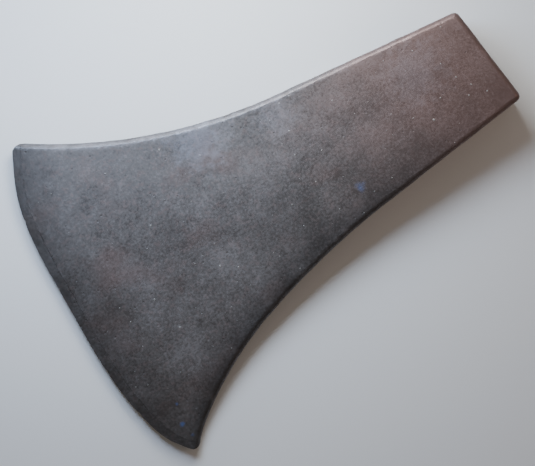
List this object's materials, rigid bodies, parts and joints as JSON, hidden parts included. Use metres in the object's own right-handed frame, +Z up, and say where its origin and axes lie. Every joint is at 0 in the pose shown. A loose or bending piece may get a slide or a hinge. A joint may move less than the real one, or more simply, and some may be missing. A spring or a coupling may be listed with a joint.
{
  "type": "broad axe head",
  "caption": "Single-bevel broad axe head lying on its bevelled side: square poll, open eye, straight neck flaring to a wide cutting edge, flat hewing side up.",
  "frame": {"origin": "on the plane the head rests on, straight under the middle of the eye", "axes": "+X towards the cutting edge, +Y towards the heel of the blade, +Z up through the flat hewing side"},
  "size_m": [0.2611, 0.184, 0.0338],
  "materials": {
    "wrought_iron": "dark brown-grey patina, satin",
    "poll_iron": "dark rust-brown patina, satin",
    "edge_steel": "worn dark grey steel, satin"
  },
  "bodies": {
    "root": {"flat_side_cheek": "wrought_iron", "bevel_side_cheek": "wrought_iron", "poll_block": "poll_iron", "edge_steel": "edge_steel"}
  },
  "joints": []
}
